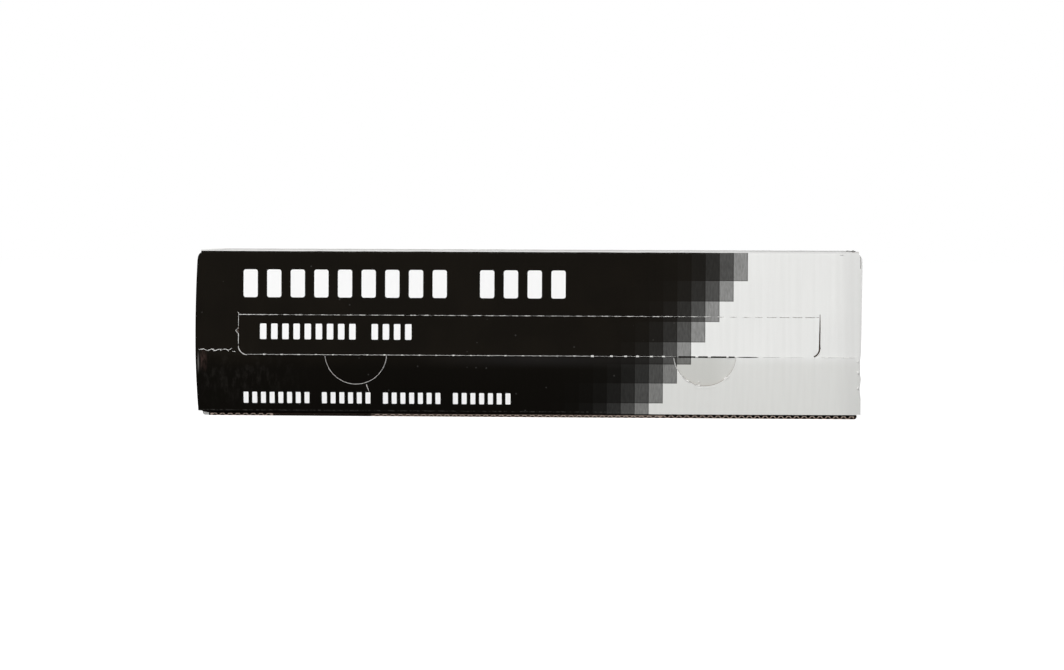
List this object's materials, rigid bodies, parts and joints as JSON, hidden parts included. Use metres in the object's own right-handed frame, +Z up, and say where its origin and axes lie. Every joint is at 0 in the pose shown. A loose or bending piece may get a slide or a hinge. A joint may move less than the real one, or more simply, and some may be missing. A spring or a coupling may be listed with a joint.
{
  "type": "foil dispenser box",
  "caption": "Closed corrugated cardboard box for a roll of kitchen foil, with an unbroken perforated tear strip and thumb tabs along its front.",
  "frame": {"origin": "middle of the underside", "axes": "+X along the box's length, to the right seen from the front; the front with the tear strip faces -Y; +Z up"},
  "size_m": [0.3078, 0.075, 0.077],
  "materials": {
    "printed_board": "satin print on corrugated board"
  },
  "bodies": {
    "root": {"dispenser_box": "printed_board"}
  },
  "joints": []
}
